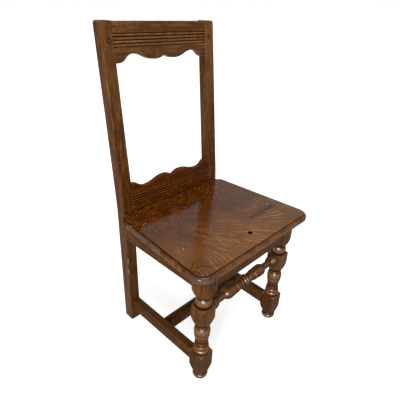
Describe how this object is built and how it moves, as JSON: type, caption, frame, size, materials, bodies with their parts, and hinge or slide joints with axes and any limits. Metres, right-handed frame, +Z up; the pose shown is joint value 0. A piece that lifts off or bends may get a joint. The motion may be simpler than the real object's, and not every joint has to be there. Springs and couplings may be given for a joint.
{
  "type": "kids chair",
  "caption": "Child-size joined wooden chair: plank seat, turned front legs and stretcher, leaning open back between reeded, scalloped rails.",
  "frame": {"origin": "on the floor, in the middle of the chair's width and depth", "axes": "+Z up, +Y towards the back, +X to the right as seen from the front"},
  "size_m": [0.3504, 0.3253, 0.6854],
  "materials": {
    "oak_frame": "waxed, worn on the edges",
    "oak_back_rail": "waxed, dark in the grooves",
    "oak_turned": "waxed and polished by use",
    "oak_seat": "polished by use",
    "oak_peg": "waxed end grain"
  },
  "bodies": {
    "root": {"left_back_post": "oak_frame", "right_back_post": "oak_frame", "top_rail": "oak_back_rail", "lower_back_rail": "oak_back_rail", "left_front_leg": "oak_turned", "right_front_leg": "oak_turned", "front_stretcher": "oak_turned", "front_seat_rail": "oak_frame", "rear_seat_rail": "oak_frame", "left_seat_rail": "oak_frame", "right_seat_rail": "oak_frame", "seat_board": "oak_seat", "left_side_stretcher": "oak_frame", "right_side_stretcher": "oak_frame", "cross_stretcher": "oak_frame", "top_rail_pegs": "oak_peg", "front_rail_pegs": "oak_peg", "seat_pegs": "oak_peg"}
  },
  "joints": []
}
